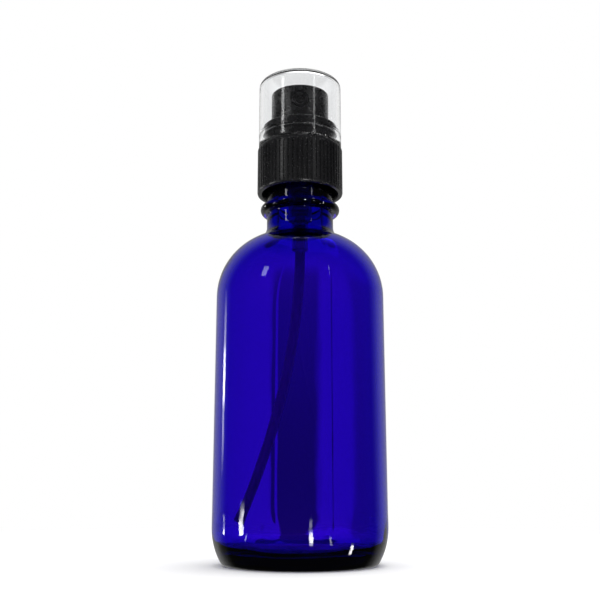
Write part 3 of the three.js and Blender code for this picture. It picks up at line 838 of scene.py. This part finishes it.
class Surround(Nodes):
    """The brightness of the studio around the bottle, for the air and for the floor.

    Directions are taken in the camera's frame, so that every view has the same studio.
    """

    def __init__(self, owner, output):
        super().__init__(owner, output)
        incoming = self.add("ShaderNodeNewGeometry").outputs["Incoming"]
        right, up, back = self.turned_to(incoming, "WORLD", "CAMERA")
        self.ahead = self.math("MULTIPLY", back, -1.0)
        self.side = self.math("DIVIDE", right, back)
        self.rise = self.math("DIVIDE", up, back)
        ray = self.add("ShaderNodeLightPath").outputs
        self.through = ray["Is Transmission Ray"]
        self.in_glass = self.math("GREATER_THAN", ray["Transmission Depth"], 0.5)
        mirrored = self.math("GREATER_THAN", ray["Glossy Depth"], 0.5)
        self.mirrored = self.math("MULTIPLY", mirrored, self.math("SUBTRACT", 1.0, ray["Is Diffuse Ray"]))
        self.bearing = self.math("ARCTAN2", self.math("MULTIPLY", right, -1.0), back)
        level = self.turned_to((0, 0, 1), "CAMERA", "WORLD")[2]
        rising = self.split(incoming)[2]
        self.height = self.math("SUBTRACT", self.math("MULTIPLY", rising, -1.0), level)

    def turned_to(self, vector, start, end):
        """A vector's three components after a change of frame."""
        turn = self.add("ShaderNodeVectorTransform", vector_type="VECTOR", convert_from=start, convert_to=end)
        self.feed(turn.inputs["Vector"], vector)
        return self.split(turn.outputs["Vector"])

    def split(self, vector):
        axes = self.add("ShaderNodeSeparateXYZ")
        self.link(vector, axes.inputs["Vector"])
        return axes.outputs["X"], axes.outputs["Y"], axes.outputs["Z"]

    def seen(self):
        """White. Through glass it is dark behind the middle, darkest low down, and dimmer to the right."""
        from_left = self.ranged(self.side, *SHADE_LEFT, 0.0, 1.0)
        to_right = self.ranged(self.side, *SHADE_RIGHT, 1.0, 0.0)
        right = self.ranged(self.side, *DIM_FAR_RIGHT, 0.0, 0.55)
        dark = self.math("MAXIMUM", self.math("MULTIPLY", from_left, to_right), right)
        dark = self.math("MULTIPLY", dark, self.ranged(self.rise, *SHADE_FALL, 0.72, 0.42))
        dark = self.math("MULTIPLY", dark, self.ranged(self.rise, *SHADE_TOP, 1.0, 0.0))
        dark = self.math("MULTIPLY", dark, self.math("GREATER_THAN", self.ahead, 0.0))
        return self.math("SUBTRACT", 1.0, self.math("MULTIPLY", dark, self.through))

    def patch(self, bearing, height, half_width, half_height, radiance):
        """A bright strip that only outer surfaces mirror. Bearing 0 is behind the camera, in radians."""
        across = self.math("ABSOLUTE", self.math("SUBTRACT", self.bearing, bearing))
        along = self.math("ABSOLUTE", self.math("SUBTRACT", self.height, height))
        across = self.ranged(across, 0.7 * half_width, 1.2 * half_width, radiance, 0.0)
        along = self.ranged(along, 0.5 * half_height, 1.2 * half_height, 1.0, 0.0)
        return self.math("MULTIPLY", across, along)

    def brightness(self):
        """Dim where it is mirrored, but for straight ahead and for the patches."""
        forward = self.ranged(self.ahead, 0.30, 0.80, 0.0, 1.0)
        skin = self.ranged(forward, 0.0, 1.0, 0.02, 0.38, False)
        for patch in PATCHES:
            skin = self.math("ADD", skin, self.patch(*patch))
        inside = self.ranged(forward, 0.0, 1.0, 0.04, 1.0, False)
        mirror = self.ranged(self.in_glass, 0.0, 1.0, skin, inside, False)
        return self.ranged(self.mirrored, 0.0, 1.0, self.seen(), mirror, False)


# Bearing, height over the camera's axis, half width, half height, radiance.
PATCHES = [
    (-2.13, -0.088, 0.050, 0.035, 8.0),
    (-2.13, -0.096, 0.045, 0.095, 2.5),
    (0.25, -0.45, 0.034, 0.17, 24.0),
    (0.68, -0.50, 0.022, 0.12, 6.0),
    (1.21, -0.68, 0.050, 0.12, 20.0),
    (-1.37, -0.29, 0.060, 0.05, 20.0),
    (-1.22, -0.42, 0.020, 0.09, 5.0),
    (-1.99, -0.30, 0.045, 0.05, 10.0),
]


# In metres.
FADE_FROM_AXIS = (0.06, 0.26)
FLOOR_HALF = 6.0


def make_floor():
    """A pale floor that fades into the white air. Nothing mirrors it."""
    nodes = Surround(bpy.data.materials.new("pale_floor"), "ShaderNodeOutputMaterial")
    # Painted shade: seen through glass, the floor's colour and glow take the studio's dark band behind the
    # bottle's middle.
    level = nodes.brightness()
    paint = nodes.add("ShaderNodeBsdfDiffuse")
    nodes.link(nodes.math("MULTIPLY", level, 0.97), paint.inputs["Color"])
    glow = nodes.add("ShaderNodeEmission", Color=(1, 1, 1, 1))
    nodes.link(level, glow.inputs["Strength"])
    distance = nodes.add("ShaderNodeVectorMath", operation="LENGTH")
    nodes.link(nodes.add("ShaderNodeNewGeometry").outputs["Position"], distance.inputs[0])
    away = nodes.ranged(distance.outputs["Value"], *FADE_FROM_AXIS, 0.0, 1.0)
    fading = nodes.blend(away, paint.outputs["BSDF"], glow.outputs["Emission"])
    nodes.link(fading, nodes.output.inputs["Surface"])
    half = FLOOR_HALF
    mesh = bpy.data.meshes.new("floor")
    corners = [(-half, -half, 0), (half, -half, 0), (half, half, 0), (-half, half, 0)]
    mesh.from_pydata(corners, [], [(0, 1, 2, 3)])
    mesh.materials.append(nodes.owner)
    floor = bpy.data.objects.new("floor", mesh)
    floor.visible_glossy = False
    bpy.context.scene.collection.objects.link(floor)


def make_air():
    """White air all around, with the studio's patches for surfaces that mirror it."""
    world = bpy.data.worlds.new("studio")
    nodes = Surround(world, "ShaderNodeOutputWorld")
    air = nodes.add("ShaderNodeBackground", Color=(1, 1, 1, 1))
    nodes.link(nodes.brightness(), air.inputs["Strength"])
    nodes.link(air.outputs["Background"], nodes.output.inputs["Surface"])
    world.cycles.sampling_method = "NONE"
    bpy.context.scene.world = world


def softbox(name, place, size, radiance):
    """A rectangular lamp aimed at the bottle's axis, never seen by the camera or straight through glass."""
    light = bpy.data.lights.new(name, "AREA")
    light.shape = "RECTANGLE"
    light.size, light.size_y = size
    light.energy = radiance * math.pi * size[0] * size[1]
    nodes = Nodes(light, "ShaderNodeOutputLight")
    ray = nodes.add("ShaderNodeLightPath").outputs
    bounced = nodes.math("ADD", ray["Glossy Depth"], ray["Diffuse Depth"])
    straight = nodes.math("MULTIPLY", ray["Is Transmission Ray"], nodes.math("LESS_THAN", bounced, 0.5))
    glow = nodes.add("ShaderNodeEmission")
    nodes.link(nodes.math("SUBTRACT", 1.0, straight), glow.inputs["Strength"])
    nodes.link(glow.outputs["Emission"], nodes.output.inputs["Surface"])
    lamp = bpy.data.objects.new(name, light)
    lamp.location = place
    aim = Vector((0, 0, min(place[2], 0.12))) - Vector(place)
    lamp.rotation_euler = aim.to_track_quat("-Z", "Y").to_euler()
    lamp.visible_camera = False
    bpy.context.scene.collection.objects.link(lamp)
    return lamp


def make_studio():
    bpy.context.scene.view_settings.view_transform = "Standard"
    make_air()
    make_floor()
    softbox("high_left", (-0.42, -0.36, 0.36), (0.07, 0.16), 4.0)
    softbox("high_right", (0.34, -0.40, 0.37), (0.03, 0.18), 3.0)
    overhead = softbox("overhead", (0.1, 0.05, 0.7), (0.5, 0.5), 2.5)
    overhead.visible_glossy = False


def make_camera():
    """Level with the bottle's lower third and tilted up a little, five bottle widths from its axis."""
    lens = bpy.data.cameras.new("camera")
    lens.sensor_width = 36
    eye = Vector((0.0, -10 * BODY_R, 20)) * MM
    low, high = -9 * MM, 172 * MM
    down = math.atan2(low - eye.z, -eye.y)
    up = math.atan2(high - eye.z, -eye.y)
    lens.angle = up - down
    lens.clip_start = 0.01
    camera = bpy.data.objects.new("camera", lens)
    camera.location = eye
    camera.rotation_euler = (math.pi / 2 + (up + down) / 2, 0, 0)
    bpy.context.scene.collection.objects.link(camera)
    bpy.context.scene.camera = camera


make_studio()
make_camera()
